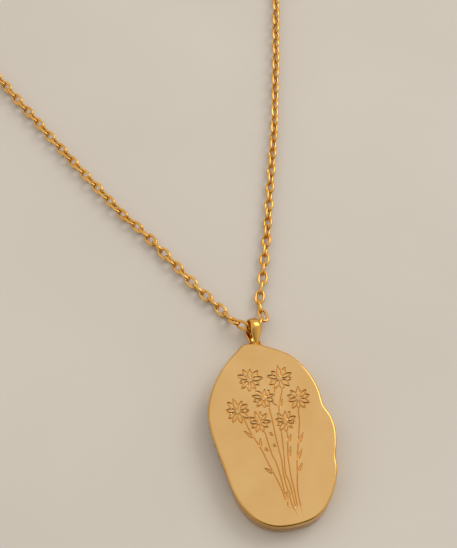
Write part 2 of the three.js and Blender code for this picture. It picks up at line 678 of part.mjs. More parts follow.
const endFrame = new THREE.Group();
endFrame.position.set(...RIGHT_COIL_CENTRE, 0);
endFrame.rotation.z = inwardAngle(RIGHT_ROUTE, RIGHT_COIL_CENTRE);
const endRing = piece(
  'end_ring', new THREE.TorusGeometry(END_RING_RADIUS, END_RING_WIRE / 2, 8, 24),
  gold(BRIGHT_GOLD, 0.2),
);
const endRingOuter = END_RING_RADIUS + END_RING_WIRE / 2;
// The ring leans on the last link's wire, which passes under its near side.
endRing.position.set(
  -(coilInner - cordRadius - END_GAP - endRingOuter), 0, (END_RING_WIRE + END_RING_LIFT) / 2,
);
endRing.rotation.y = Math.asin(END_RING_LIFT / (2 * END_RING_RADIUS));
endFrame.add(endRing);
locket.add(endFrame);

export default locket;
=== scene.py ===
"""Looks of the locket on its chain: engraved pebble front, real oval links, bail and clasp.

Lengths are in millimetres inside the shape functions and become metres when a mesh is made.
"""

import json
import math
import random

import bmesh
import bpy
import numpy as np
from mathutils import Matrix, Vector
from mathutils.geometry import delaunay_2d_cdt


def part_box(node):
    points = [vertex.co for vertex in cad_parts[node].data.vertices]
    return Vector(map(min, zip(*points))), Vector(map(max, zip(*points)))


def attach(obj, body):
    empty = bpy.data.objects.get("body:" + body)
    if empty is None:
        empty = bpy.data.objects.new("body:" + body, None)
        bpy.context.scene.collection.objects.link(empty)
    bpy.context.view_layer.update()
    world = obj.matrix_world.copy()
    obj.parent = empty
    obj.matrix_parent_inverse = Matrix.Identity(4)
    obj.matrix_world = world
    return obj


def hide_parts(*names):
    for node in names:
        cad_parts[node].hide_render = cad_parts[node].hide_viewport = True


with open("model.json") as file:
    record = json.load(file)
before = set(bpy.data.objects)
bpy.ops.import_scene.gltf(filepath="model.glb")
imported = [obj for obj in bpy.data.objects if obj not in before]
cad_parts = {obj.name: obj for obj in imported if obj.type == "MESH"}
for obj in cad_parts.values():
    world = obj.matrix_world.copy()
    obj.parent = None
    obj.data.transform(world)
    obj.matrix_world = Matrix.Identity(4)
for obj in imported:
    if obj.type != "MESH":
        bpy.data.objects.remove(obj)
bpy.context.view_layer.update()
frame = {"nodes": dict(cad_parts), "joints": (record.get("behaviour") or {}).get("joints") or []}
MM = 0.001
Z_AXIS = np.array([0.0, 0.0, 1.0])
joints = {joint["name"]: joint for joint in frame["joints"]}


def unit(v):
    return np.array(v, float) / np.linalg.norm(v)


def pivot(name):
    """A joint's place, in millimetres."""
    return np.array(joints[name]["pos_m"], float) / MM


def node_box(name):
    """Lowest and highest corners of a CAD node, in millimetres."""
    low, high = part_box(name)
    return np.array(low) / MM, np.array(high) / MM


# ---------------------------------------------------------------- camera

CAMERA_AT = np.array([-14.93, -38.41, 126.97])
CAMERA_AIM = np.array([0.171, 24.493, 0.0])
CAMERA_RIGHT = np.array([0.9724, -0.2334, 0.0])


def make_camera():
    data = bpy.data.cameras.new("camera")
    data.lens = 66.35
    data.sensor_width = 36.0
    data.clip_start = 0.005
    data.clip_end = 10.0
    camera = bpy.data.objects.new("camera", data)
    forward = unit(CAMERA_AIM - CAMERA_AT)
    right = unit(CAMERA_RIGHT - forward * CAMERA_RIGHT.dot(forward))
    up = np.cross(right, forward)
    rows = [[right[i], up[i], -forward[i], CAMERA_AT[i] * MM] for i in range(3)]
    camera.matrix_world = Matrix(rows + [[0, 0, 0, 1]])
    bpy.context.scene.collection.objects.link(camera)
    bpy.context.scene.camera = camera


make_camera()


# ---------------------------------------------------------------- materials


def linear(r, g, b):
    """An sRGB colour in 0 to 255 as scene-linear RGBA."""
    channels = []
    for value in (r, g, b):
        c = value / 255
        channels.append(c / 12.92 if c <= 0.04045 else ((c + 0.055) / 1.055) ** 2.4)
    return (*channels, 1.0)


class Recipe:
    """One material's node tree, with short names for the nodes that every recipe uses."""

    def __init__(self, name):
        self.material = bpy.data.materials.new(name)
        self.material.use_nodes = True
        self.tree = self.material.node_tree
        self.shader = self.tree.nodes["Principled BSDF"]
        self.place = self.add("ShaderNodeTexCoord").outputs["Object"]

    def add(self, kind, **inputs):
        node = self.tree.nodes.new(kind)
        for key, value in inputs.items():
            node.inputs[key.replace("_", " ")].default_value = value
        return node

    def link(self, source, target):
        self.tree.links.new(source, target)

    def noise(self, scale, detail=3.0, stretch=(1, 1, 1), turn=0.0):
        mapping = self.add("ShaderNodeMapping")
        mapping.inputs["Scale"].default_value = stretch
        mapping.inputs["Rotation"].default_value = (0, 0, turn)
        self.link(self.place, mapping.inputs["Vector"])
        noise = self.add("ShaderNodeTexNoise", Scale=scale, Detail=detail)
        self.link(mapping.outputs["Vector"], noise.inputs["Vector"])
        return noise.outputs["Fac"]

    def spread(self, source, low, high):
        node = self.add("ShaderNodeMapRange")
        node.inputs["From Min"].default_value = 0.3
        node.inputs["From Max"].default_value = 0.7
        node.inputs["To Min"].default_value = low
        node.inputs["To Max"].default_value = high
        self.link(source, node.inputs["Value"])
        return node.outputs["Result"]

    def ramp(self, source, stops):
        node = self.add("ShaderNodeValToRGB")
        elements = node.color_ramp.elements
        while len(elements) < len(stops):
            elements.new(0.5)
        for element, (position, color) in zip(elements, stops):
            element.position = position
            element.color = color
        self.link(source, node.inputs["Fac"])
        return node.outputs["Color"]

    def bump(self, source, strength, distance, below=None):
        node = self.add("ShaderNodeBump", Strength=strength, Distance=distance)
        self.link(source, node.inputs["Height"])
        if below is not None:
            self.link(below, node.inputs["Normal"])
        return node.outputs["Normal"]

    def set(self, **values):
        for key, value in values.items():
            self.shader.inputs[key.replace("_", " ")].default_value = value


def gold(name, light, dark, rough, hairline, grain, turn=0.0):
    """Gold plate: mottled colour, hairlines along one direction and a fine grain under them."""
    r = Recipe(name)
    r.set(Metallic=1.0)
    mottle = r.noise(260, detail=4.0)
    r.link(r.ramp(mottle, [(0.32, dark), (0.68, light)]), r.shader.inputs["Base Color"])
    lines = r.noise(900, detail=5.0, stretch=(0.06, 3.0, 3.0), turn=turn)
    r.link(r.spread(lines, *rough), r.shader.inputs["Roughness"])
    fine = r.bump(r.noise(5200, detail=2.0), grain, 0.00001)
    r.link(r.bump(lines, hairline, 0.00001, below=fine), r.shader.inputs["Normal"])
    return r.material


FACE_GOLD = gold(
    "face_gold", linear(232, 189, 126), linear(226, 181, 116), (0.2, 0.27), 0.06, 0.03, 0.4,
)
# Painted shade: the side walls get a darker, more orange copy of the face gold, standing in for the dark
# surroundings they reflect.
SHADED_WALL_GOLD = gold(
    "wall_gold_painted_shade", linear(226, 178, 98), linear(206, 154, 74), (0.14, 0.26), 0.12, 0.05, 1.57,
)
BRIGHT_GOLD = gold(
    "bright_gold", linear(240, 192, 106), linear(222, 166, 78), (0.08, 0.2), 0.08, 0.06, 0.9,
)
DEEP_GOLD = gold(
    "deep_gold", linear(205, 152, 74), linear(168, 112, 44), (0.18, 0.34), 0.15, 0.1, 0.2,
)


def card_material():
    r = Recipe("photo_card")
    fibre = r.noise(3200, detail=6.0, stretch=(1.0, 0.35, 1.0), turn=0.5)
    tone = r.noise(140, detail=2.0)
    r.link(
        r.ramp(tone, [(0.3, linear(226, 219, 203)), (0.7, linear(238, 232, 219))]),
        r.shader.inputs["Base Color"],
    )
    r.link(r.spread(fibre, 0.72, 0.9), r.shader.inputs["Roughness"])
    r.link(r.bump(fibre, 0.25, 0.00002), r.shader.inputs["Normal"])
    return r.material


def window_material():
    r = Recipe("clear_window")
    r.set(Transmission_Weight=1.0, IOR=1.49, Base_Color=(0.97, 0.98, 0.98, 1.0))
    smear = r.noise(420, detail=4.0, stretch=(0.3, 1.0, 1.0), turn=0.7)
    r.link(r.spread(smear, 0.02, 0.09), r.shader.inputs["Roughness"])
    r.link(r.bump(smear, 0.03, 0.00001), r.shader.inputs["Normal"])
    return r.material


def steel_material():
    r = Recipe("spring_steel")
    r.set(Metallic=1.0)
    grain = r.noise(1600, detail=4.0, stretch=(0.1, 2.0, 2.0))
    r.link(
        r.ramp(grain, [(0.3, linear(160, 158, 152)), (0.7, linear(196, 194, 188))]),
        r.shader.inputs["Base Color"],
    )
    r.link(r.spread(grain, 0.22, 0.4), r.shader.inputs["Roughness"])
    r.link(r.bump(grain, 0.15, 0.00001), r.shader.inputs["Normal"])
    return r.material


def paper_material():
    r = Recipe("paper")
    r.set(Specular_IOR_Level=0.2)
    tone = r.noise(22, detail=3.0)
    r.link(
        r.ramp(tone, [(0.3, linear(222, 214, 203)), (0.7, linear(228, 221, 211))]),
        r.shader.inputs["Base Color"],
    )
    fibre = r.noise(900, detail=6.0)
    r.link(r.spread(fibre, 0.8, 0.95), r.shader.inputs["Roughness"])
    r.link(r.bump(fibre, 0.15, 0.0001), r.shader.inputs["Normal"])
    return r.material


CARD = card_material()
WINDOW = window_material()
STEEL = steel_material()


# ---------------------------------------------------------------- mesh helpers


def build(name, vertices, faces, materials, smooth=True, sharp_deg=None):
    """A mesh object from millimetre vertices."""
    mesh = bpy.data.meshes.new(name)
    mesh.from_pydata((np.asarray(vertices, float) * MM).tolist(), [], [list(f) for f in faces])
    mesh.validate()
    for material in materials:
        mesh.materials.append(material)
    if smooth:
        mesh.shade_smooth()
        if sharp_deg is not None:
            mesh.set_sharp_from_angle(angle=math.radians(sharp_deg))
    obj = bpy.data.objects.new(name, mesh)
    bpy.context.scene.collection.objects.link(obj)
    return obj


def place_piece(obj, body, slot, *nodes):
    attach(obj, body)
    if nodes:
        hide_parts(*nodes)
    return obj


def centripetal(points, closed=False, per_span=12):
    """A smooth line through the points that doesn't overshoot where they are uneven."""
    pts = [np.array(p, float) for p in points]
    count = len(pts)
    if closed:
        get = lambda i: pts[i % count]
        spans = count
    else:
        ends = {-1: 2 * pts[0] - pts[1], count: 2 * pts[-1] - pts[-2]}
        get = lambda i: ends[i] if i in ends else pts[i]
        spans = count - 1
    line = []
    for i in range(spans):
        p0, p1, p2, p3 = (get(i + k) for k in (-1, 0, 1, 2))
        d0, d1, d2 = (math.sqrt(np.linalg.norm(b - a)) for a, b in ((p0, p1), (p1, p2), (p2, p3)))
        m1 = d1 * ((p1 - p0) / d0 - (p2 - p0) / (d0 + d1) + (p2 - p1) / d1)
        m2 = d1 * ((p2 - p1) / d1 - (p3 - p1) / (d1 + d2) + (p3 - p2) / d2)
        for step in range(per_span):
            t = step / per_span
            line.append(
                p1 + m1 * t + (-3 * p1 + 3 * p2 - 2 * m1 - m2) * t**2
                + (2 * p1 - 2 * p2 + m1 + m2) * t**3
            )
    if not closed:
        line.append(pts[-1])
    return np.array(line)


def lengths_along(line):
    return np.concatenate([[0.0], np.cumsum(np.linalg.norm(np.diff(line, axis=0), axis=1))])


def at_length(line, along, s):
    return np.array([np.interp(s, along, line[:, k]) for k in range(3)])


def sweep(line, sections, closed, first_up):
    """A skin through one section per point of the line. Each section is an (n, 2) array in the
    plane across the line, its second axis starting along first_up."""
    count = len(line)
    ahead = np.roll(line, -1, axis=0) - np.roll(line, 1, axis=0)
    if not closed:
        ahead[0] = line[1] - line[0]
        ahead[-1] = line[-1] - line[-2]
    tangents = ahead / np.linalg.norm(ahead, axis=1)[:, None]
    up = np.array(first_up, float)
    vertices = []
    for i in range(count):
        up = unit(up - tangents[i] * up.dot(tangents[i]))
        side = np.cross(up, tangents[i])
        vertices += [line[i] + side * u + up * v for u, v in sections[i]]
    ring = len(sections[0])
    faces = []
    for i in range(count if closed else count - 1):
        a, b = i * ring, ((i + 1) % count) * ring
        faces += [(a + k, a + (k + 1) % ring, b + (k + 1) % ring, b + k) for k in range(ring)]
    if not closed:
        faces.append(tuple(reversed(range(ring))))
        faces.append(tuple(range((count - 1) * ring, count * ring)))
    return np.array(vertices), faces


def circle_section(radius, sides):
    angles = np.arange(sides) / sides * 2 * math.pi
    return np.column_stack([radius * np.cos(angles), radius * np.sin(angles)])


# ---------------------------------------------------------------- chain

CHAIN_WIDTH = 1.5
LINK_LENGTH = 2.33
LINK_WIRE = 0.4
LINK_PITCH = 1.5
LINK_OVAL = 2.35
CORD_REST = 0.78
COIL_RADIUS = 11.2
COIL_PITCH = 1.6
COIL_TURNS = 2.75
TAIL_BEND = 3.1
LINK_STEPS = 26
LINK_SIDES = 10

LEFT_ROUTE = [
    (-1.6, 17.8), (-2.95, 20.2), (-4.6, 22.9), (-6.6, 26.7), (-8.5, 30.2), (-10.3, 33.6),
    (-12.4, 36.8), (-14.9, 41.6), (-16.7, 45.1), (-18.5, 48.6), (-19.8, 51.3), (-21.1, 53.9),
    (-22.3, 56.5), (-23.6, 59.1), (-24.9, 61.9), (-26.2, 64.7),
]
RIGHT_ROUTE = [
    (3.1, 18.6), (4.2, 21.4), (5.2, 24.2), (7.1, 29.7), (9.0, 35.6), (10.9, 41.5), (11.9, 44.5),
    (12.8, 47.4), (13.6, 50.2), (14.4, 53.0), (15.2, 56.0), (16.1, 59.1), (16.9, 62.2),
    (17.7, 65.2), (18.5, 68.2), (19.3, 71.2), (20.2, 74.5), (21.1, 77.8),
]


def oval_line():
    """The middle of a link's wire, long along X and flat in XY."""
    angles = np.arange(LINK_STEPS) / LINK_STEPS * 2 * math.pi
    half_long = (LINK_LENGTH - LINK_WIRE) / 2
    half_wide = (CHAIN_WIDTH - LINK_WIRE) / 2
    power = 2 / LINK_OVAL
    x = half_long * np.sign(np.cos(angles)) * np.abs(np.cos(angles)) ** power
    y = half_wide * np.sign(np.sin(angles)) * np.abs(np.sin(angles)) ** power
    return np.column_stack([x, y, np.zeros(LINK_STEPS)])


def link_template():
    section = circle_section(LINK_WIRE / 2, LINK_SIDES)
    return sweep(oval_line(), [section] * LINK_STEPS, True, Z_AXIS)


LINK_VERTICES, LINK_FACES = link_template()


def links(name, stations):
    """One mesh of links, each given as (centre, heading, normal)."""
    vertices, faces = [], []
    for centre, heading, normal in stations:
        along = unit(heading)
        flat = unit(normal - along * normal.dot(along))
        across = np.cross(flat, along)
        start = len(vertices) * len(LINK_VERTICES)
        vertices.append(centre + LINK_VERTICES @ np.array([along, across, flat]))
        faces += [tuple(start + k for k in f) for f in LINK_FACES]
    return build(name, np.concatenate(vertices), faces, [BRIGHT_GOLD])


# The bail's own directions, from the two joints it hangs between
bail_at = pivot("loop_swing")
across_bail = -unit(joints["bail_swing"]["axis"])
seat = pivot("bail_swing")
along_bail = unit((seat - bail_at) - across_bail * (seat - bail_at).dot(across_bail))
up_bail = np.cross(across_bail, along_bail)


def in_bail(x, y, z):
    return across_bail * x + along_bail * y + up_bail * z


RIGHT_HEADING = unit(in_bail(0.55, 0.83, -0.1))
LEFT_HEADING = unit(in_bail(-0.75, 0.55, -0.45))
LINK_REACH = LINK_LENGTH / 2 - LINK_WIRE
LINK_SLACK = 0.14
STRAND_GAP = 0.3


def side_link(side, heading):
    return seat + across_bail * side * (LINK_REACH - LINK_SLACK) + heading * LINK_REACH


right_link = side_link(1, RIGHT_HEADING)
left_link = side_link(-1, LEFT_HEADING)

bail_links = {
    "link_centre": (seat, across_bail, up_bail),
    "link_right": (right_link, RIGHT_HEADING, across_bail),
    "link_left": (left_link, LEFT_HEADING, across_bail),
}
for node_name, station in bail_links.items():
    place_piece(links(node_name + "_oval", [station]), "chain", "bright_gold", node_name)


def coil_centre(node):
    low, high = node_box(node)
    return (low[:2] + high[:2]) / 2


def strand_line(link, heading, route, centre, ring_distance):
    """The middle line of a strand: from its side link along its route, in a straight run on
    to the coil, round its turns, and in to the ring that lies inside them."""
    start = link + heading * (LINK_LENGTH / 2 + STRAND_GAP)
    last = np.array(route[-1])
    away = last - centre
    touch = math.atan2(away[1], away[0]) + math.acos(COIL_RADIUS / np.linalg.norm(away))
    inner_end = touch + COIL_TURNS * 2 * math.pi

    def turn_radius(angle):
        return COIL_RADIUS - COIL_PITCH * (angle - touch) / (2 * math.pi)

    def bend_end(bend, radius):
        inward = radius - TAIL_BEND * (1 - math.cos(bend))
        onward = TAIL_BEND * math.sin(bend)
        return math.hypot(inward, onward), math.atan2(onward, inward)

    low, high = 0.3, 2.2
    for _ in range(40):
        bend = (low + high) / 2
        leave = inner_end - bend_end(bend, turn_radius(inner_end))[1]
        reach = bend_end(bend, turn_radius(leave))[0]
        low, high = (bend, high) if reach > ring_distance else (low, bend)
    leave = inner_end - bend_end(bend, turn_radius(leave))[1]

    points = [start] + [np.array([x, y, CORD_REST]) for x, y in route]
    run = np.array([*(centre + COIL_RADIUS * np.array([math.cos(touch), math.sin(touch)])), CORD_REST])
    points += [points[-1] + (run - points[-1]) * share for share in (1 / 3, 2 / 3)]
    steps = math.ceil((leave - touch) / (2 * math.pi) * 24)
    for angle in np.linspace(touch, leave, steps + 1):
        x, y = centre + turn_radius(angle) * np.array([math.cos(angle), math.sin(angle)])
        points.append(np.array([x, y, CORD_REST]))
    outward = np.array([math.cos(leave), math.sin(leave)])
    forward = np.array([-outward[1], outward[0]])
    hub = centre + outward * (turn_radius(leave) - TAIL_BEND)
    for angle in np.linspace(0, bend, 7)[1:]:
        x, y = hub + TAIL_BEND * (outward * math.cos(angle) + forward * math.sin(angle))
        points.append(np.array([x, y, CORD_REST]))
    return centripetal(points)


# How far each strand is turned on its own line: (mm from the bail, degrees)
LEFT_TWIST = [(0, 45), (3, 45), (6, 0), (12, 45), (17, 0), (21, 45), (37, 45), (50, 30), (90, 40)]
RIGHT_TWIST = [(0, 0), (7.5, 0), (12, 30), (25, 30), (30, 45), (60, 45), (90, 35)]


def twist(s, first, stations):
    """How far the chain is turned on its own line at a length s from the bail."""
    lengths, degrees = zip(*stations)
    settled = math.radians(float(np.interp(s, lengths, degrees)))
    return settled + (first - settled) * math.exp(-s / 1.8)


def roll_of(normal, heading):
    """A link's turn about its heading, from face up."""
    side = unit(np.cross(Z_AXIS, heading))
    top = np.cross(heading, side)
    flat = normal - heading * normal.dot(heading)
    return math.atan2(flat.dot(side), flat.dot(top))


def chain_piece(name, line, first_roll, stations_of_twist, ends_flat, seed):
    """A strand and its coil as real links. The last one holds the ring inside the coil."""
    rng = random.Random(seed)
    along = lengths_along(line)
    first, last = 0.035, along[-1] - 0.5
    count = round((last - first) / LINK_PITCH) + 1
    if (count % 2 == 1) != ends_flat:
        count += 1
    pitch = (last - first) / (count - 1)
    stations = []
    for k in range(count):
        s = first + k * pitch
        heading = unit(at_length(line, along, min(s + 0.5, along[-1]))
                       - at_length(line, along, max(s - 0.5, 0)))
        side = unit(np.cross(Z_AXIS, heading))
        top = np.cross(heading, side)
        fade = min(1.0, (along[-1] - s) / 8)
        turn = fade * (twist(s, first_roll, stations_of_twist) + rng.uniform(-0.07, 0.07))
        turn += (k % 2) * math.pi / 2
        normal = top * math.cos(turn) + side * math.sin(turn)
        stations.append((at_length(line, along, s), heading, normal))
    return links(name, stations), along[-1]


def ring_near(node, centre):
    """Distance from a coil's centre to the wire of the ring on the coil's side."""
    low, high = node_box(node)
    middle = ((low + high) / 2)[:2]
    return float(np.linalg.norm(middle - centre))


left_centre = coil_centre("chain_left_coil")
right_centre = coil_centre("chain_right_coil")
CLASP_RING_RADIUS = 1.0
CLASP_RING_WIRE = 0.42
END_RING_RADIUS = 1.7
END_RING_WIRE = 0.6
left_line = strand_line(
    left_link, LEFT_HEADING, LEFT_ROUTE, left_centre,
    ring_near("clasp_ring", left_centre) + CLASP_RING_RADIUS,
)
right_line = strand_line(
    right_link, RIGHT_HEADING, RIGHT_ROUTE, right_centre,
    ring_near("end_ring", right_centre) + END_RING_RADIUS,
)

left_first = roll_of(across_bail, LEFT_HEADING) + math.pi / 2
right_first = roll_of(across_bail, RIGHT_HEADING) + math.pi / 2
left_chain, left_length = chain_piece(
    "left_chain", left_line, left_first, LEFT_TWIST, True, 11,
)
right_chain, right_length = chain_piece(
    "right_chain", right_line, right_first, RIGHT_TWIST, False, 23,
)
place_piece(left_chain, "chain", "bright_gold", "chain_left", "chain_left_coil")
place_piece(right_chain, "chain", "bright_gold", "chain_right", "chain_right_coil")
print("chain lengths", round(left_length, 1), round(right_length, 1),
      "rolls", round(left_first, 2), round(right_first, 2))


# ---------------------------------------------------------------- rings and clasp


def ring_piece(name, middle, axis, radius, wire, gap_towards):
    """A jump ring of round wire with a fine closed saw cut."""
    axis = unit(axis)
    start = unit(np.array(gap_towards) - axis * np.dot(gap_towards, axis))
    other = np.cross(axis, start)
    cut = 0.025 / radius
    angles = np.linspace(cut, 2 * math.pi - cut, 72)
    line = np.array([middle + radius * (start * math.cos(a) + other * math.sin(a)) for a in angles])
    sections = []
    for i in range(len(angles)):
        edge = min(i, len(angles) - 1 - i)
        sections.append(circle_section(wire / 2 * (1 if edge else 0.93), 16))
    vertices, faces = sweep(line, sections, False, axis)
    return build(name, vertices, faces, [BRIGHT_GOLD], sharp_deg=50)


def box_middle(node):
    low, high = node_box(node)
    return (low + high) / 2


clasp_middle = box_middle("clasp_ring")
clasp_way = unit([*(left_centre - clasp_middle[:2]), 0])
clasp_ring = ring_piece(
    "clasp_jump_ring", clasp_middle, np.cross(Z_AXIS, clasp_way),
    CLASP_RING_RADIUS, CLASP_RING_WIRE, clasp_way * 0.3 + Z_AXIS,
)
place_piece(clasp_ring, "chain", "bright_gold", "clasp_ring")

end_middle = box_middle("end_ring")
end_near = pivot("end_ring_swivel")
end_slope = unit(end_middle - end_near)
end_ring = ring_piece(
    "end_jump_ring", end_middle, np.cross(end_slope, np.cross(Z_AXIS, end_slope)),
    END_RING_RADIUS, END_RING_WIRE, np.cross(Z_AXIS, end_slope),
)
place_piece(end_ring, "end_ring", "bright_gold", "end_ring")


def cast_copy(node, name, voxel, passes):
    """The CAD node's solid with the rounded edges and soft corners of a casting."""
    mesh = frame["nodes"][node].data.copy()
    mesh.name = name
    mesh.materials.clear()
    mesh.materials.append(BRIGHT_GOLD)
    obj = bpy.data.objects.new(name, mesh)
    bpy.context.scene.collection.objects.link(obj)
    remesh = obj.modifiers.new("remesh", "REMESH")
    remesh.mode = "VOXEL"
    remesh.voxel_size = voxel * MM
    remesh.use_smooth_shade = True
    soften = obj.modifiers.new("soften", "SMOOTH")
    soften.iterations = passes
    soften.factor = 0.5
    bpy.context.view_layer.update()
    shaped = bpy.data.meshes.new_from_object(
        obj.evaluated_get(bpy.context.evaluated_depsgraph_get())
    )
    obj.modifiers.clear()
    obj.data = shaped
    shaped.shade_smooth()
    return obj


clasp_body = cast_copy("clasp_body", "clasp_cast_body", 0.07, 6)
place_piece(clasp_body, "clasp", "bright_gold", "clasp_body")
clasp_lever = cast_copy("clasp_lever", "clasp_cast_lever", 0.05, 4)
place_piece(clasp_lever, "lever", "bright_gold", "clasp_lever")


# ---------------------------------------------------------------- locket outline

LOCKET_LENGTH = 24.8
LOCKET_WIDTH = 16.0
LOCKET_THICKNESS = 2.9
SEAM_HEIGHT = 1.45
SEAM_GAP = 0.04
EDGE_ROUND = 0.25
SKIN = 0.5
SIDE_RIM = 2.45
END_RIM = 3.1
OUTLINE_POINTS = 240

# Pebble outline in shares of the half width and half length, anticlockwise from the top
PEBBLE = [
    (-0.08, 1.0), (-0.25, 0.93), (-0.43, 0.84), (-0.64, 0.7), (-0.815, 0.53), (-0.93, 0.34),
    (-0.955, 0.14), (-0.925, -0.08), (-0.885, -0.3), (-0.845, -0.5), (-0.755, -0.7), (-0.6, -0.86),
    (-0.34, -0.97), (0.03, -1.0), (0.34, -0.965), (0.56, -0.86), (0.735, -0.7), (0.845, -0.54),
    (0.873, -0.42), (0.945, -0.29), (1.0, -0.12), (0.985, 0.02), (0.925, 0.13), (0.918, 0.2),
    (0.92, 0.29), (0.885, 0.44), (0.785, 0.61), (0.61, 0.775), (0.34, 0.9), (0.12, 0.975),
]


def pebble_outline():
    knots = [(x * LOCKET_WIDTH / 2, y * LOCKET_LENGTH / 2, 0.0) for x, y in PEBBLE]
    curve = centripetal(knots, closed=True, per_span=40)
    curve = np.vstack([curve, curve[:1]])
    along = lengths_along(curve)
    stations = np.arange(OUTLINE_POINTS) / OUTLINE_POINTS * along[-1]
    return np.column_stack([np.interp(stations, along, curve[:, k]) for k in (0, 1)])


outline = pebble_outline()
ahead = np.roll(outline, -1, axis=0) - np.roll(outline, 1, axis=0)
outward = np.column_stack([ahead[:, 1], -ahead[:, 0]])
outward /= np.linalg.norm(outward, axis=1)[:, None]


def outline_loop(inset, z):
    flat = outline - outward * inset
    return np.column_stack([flat, np.full(OUTLINE_POINTS, z)])


def oval_loop(half_width, half_length, z):
    """Points of an oval in the same directions as the outline's."""
    angles = np.arctan2(outline[:, 1] / half_length, outline[:, 0] / half_width)
    return np.column_stack([
        half_width * np.cos(angles), half_length * np.sin(angles), np.full(OUTLINE_POINTS, z),
    ])


# ---------------------------------------------------------------- engraving

PETALS = 10
GROOVE_HALF = 0.11
GROOVE_SLOPE = 0.9

# Daisy centres, their size, and the turn of their first petal in degrees, front ones first
DAISIES = [
    (2.0, 0.72, 1.4, 12), (-1.29, 1.41, 1.4, 30), (0.06, 4.37, 1.45, 5), (-3.64, 3.48, 1.65, 22),
    (4.4, 3.33, 1.5, 40), (2.78, 6.58, 1.65, 15), (-1.12, 7.29, 1.65, 0),
]
STEMS = [
    [(-0.74, 6.28), (-0.65, 5.26)],
    [(0.39, 3.31), (0.41, 1.44), (0.27, -0.71), (0.23, -2.48), (0.2, -4.17), (-0.03, -5.96),
     (-0.04, -7.22), (0.0, -8.3)],
    [(2.85, 5.52), (2.32, 4.2), (1.77, 3.08), (1.44, 1.82), (1.2, -0.05), (0.87, -2.24),
     (0.5, -4.42), (0.24, -5.87), (0.41, -7.08), (0.41, -8.57), (0.38, -10.19)],
    [(4.05, 2.35), (3.8, 0.63), (3.31, -1.0), (2.74, -2.69), (2.14, -4.38), (1.74, -5.98),
     (1.31, -7.54), (1.1, -8.74), (1.0, -10.34)],
    [(1.97, -0.33), (1.53, -2.13), (1.15, -3.55), (0.96, -5.03), (0.81, -6.51), (0.78, -7.83),
     (0.61, -10.25)],
    [(-0.94, 0.46), (-0.86, -1.83), (-0.78, -3.12), (-0.56, -4.16), (-0.45, -6.28),
     (-0.48, -7.94), (-0.4, -9.03), (-0.54, -9.97)],
    [(-3.13, 2.47), (-2.77, 0.54), (-2.21, -1.21), (-1.81, -2.62), (-1.53, -4.1),
     (-1.13, -5.7), (-0.77, -7.46), (-0.62, -9.2)],
    [(1.84, 5.95), (1.61, 4.91), (1.18, 4.37)],
    [(1.57, 2.95), (1.23, 3.29), (0.65, 4.15)],
    [(0.1, -8.2), (0.0, -9.4), (0.19, -10.64)],
]
# Leaves: where each leaves its stem, and its tip
LEAVES = [
    ((2.9, -2.51), (3.76, -1.28)), ((2.17, -4.56), (3.06, -3.28)), ((1.83, -6.08), (2.62, -5.05)),
    ((1.65, -2.03), (2.22, -1.13)), ((1.24, -3.99), (1.73, -2.72)), ((1.81, 2.71), (2.37, 3.75)),
    ((-2.56, -0.49), (-3.48, 0.66)), ((-1.96, -1.9), (-1.72, -0.77)), ((-1.33, -5.5), (-2.11, -4.66)),
    ((-0.38, -0.25), (-0.05, -0.72)), ((-0.35, -1.85), (-0.05, -2.2)), ((-1.5, -2.1), (-1.1, -2.55)),
    ((-0.5, -9.4), (-0.2, -8.2)),
]


def pointed_oval(root, tip, half_width):
    """A closed petal or leaf outline between two points."""
    root, tip = np.array(root, float), np.array(tip, float)
    way = tip - root
    across = unit([-way[1], way[0]])
    rise, belly = [], np.linspace(0, 1, 9)
    for t in belly:
        rise.append((root + way * t, half_width * math.sin(math.pi * t**0.8) ** 0.85))
    left = [p + across * w for p, w in rise]
    right = [p - across * w for p, w in rise]
    return left + right[::-1][1:-1]


def inside(point, polygon):
    x, y = point
    crossings = 0
    for (x0, y0), (x1, y1) in zip(polygon, polygon[1:] + polygon[:1]):
        if (y0 > y) != (y1 > y) and x < x0 + (y - y0) / (y1 - y0) * (x1 - x0):
            crossings += 1
    return crossings % 2 == 1


def resample(points, step):
    line = np.array([(x, y, 0.0) for x, y in points])
    along = lengths_along(line)
    count = max(2, math.ceil(along[-1] / step) + 1)
    return [tuple(at_length(line, along, s)[:2]) for s in np.linspace(0, along[-1], count)]


